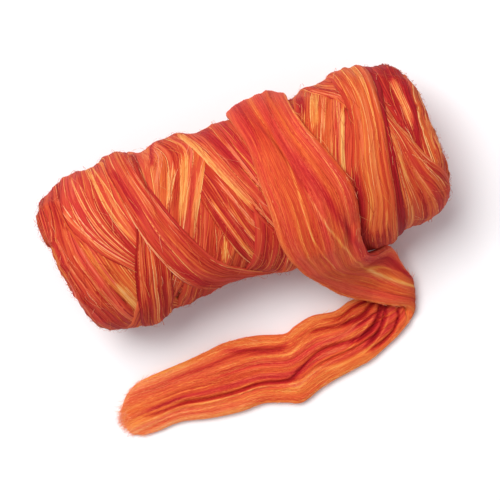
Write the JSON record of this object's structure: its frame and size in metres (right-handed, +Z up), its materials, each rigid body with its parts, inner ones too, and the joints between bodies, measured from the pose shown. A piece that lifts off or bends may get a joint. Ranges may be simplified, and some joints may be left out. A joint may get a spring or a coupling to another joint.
{
  "type": "wool roving roll",
  "caption": "Cross-wound roll of combed wool top lying on its side, its loose end over the top and folded back on the surface.",
  "frame": {"origin": "middle of the flat spot under the roll, level with the surface that it rests on", "axes": "+X along the roll's axis, +Z up, and the loose end lies in front of the roll, towards -Y"},
  "size_m": [0.2263, 0.1747, 0.0977],
  "materials": {
    "roll_wool": "soft combed fibre, streaked in reds, orange and gold",
    "loose_end_wool": "soft combed fibre, mostly orange with red streaks"
  },
  "bodies": {
    "root": {"roll": "roll_wool", "loose_end": "loose_end_wool"}
  },
  "joints": []
}
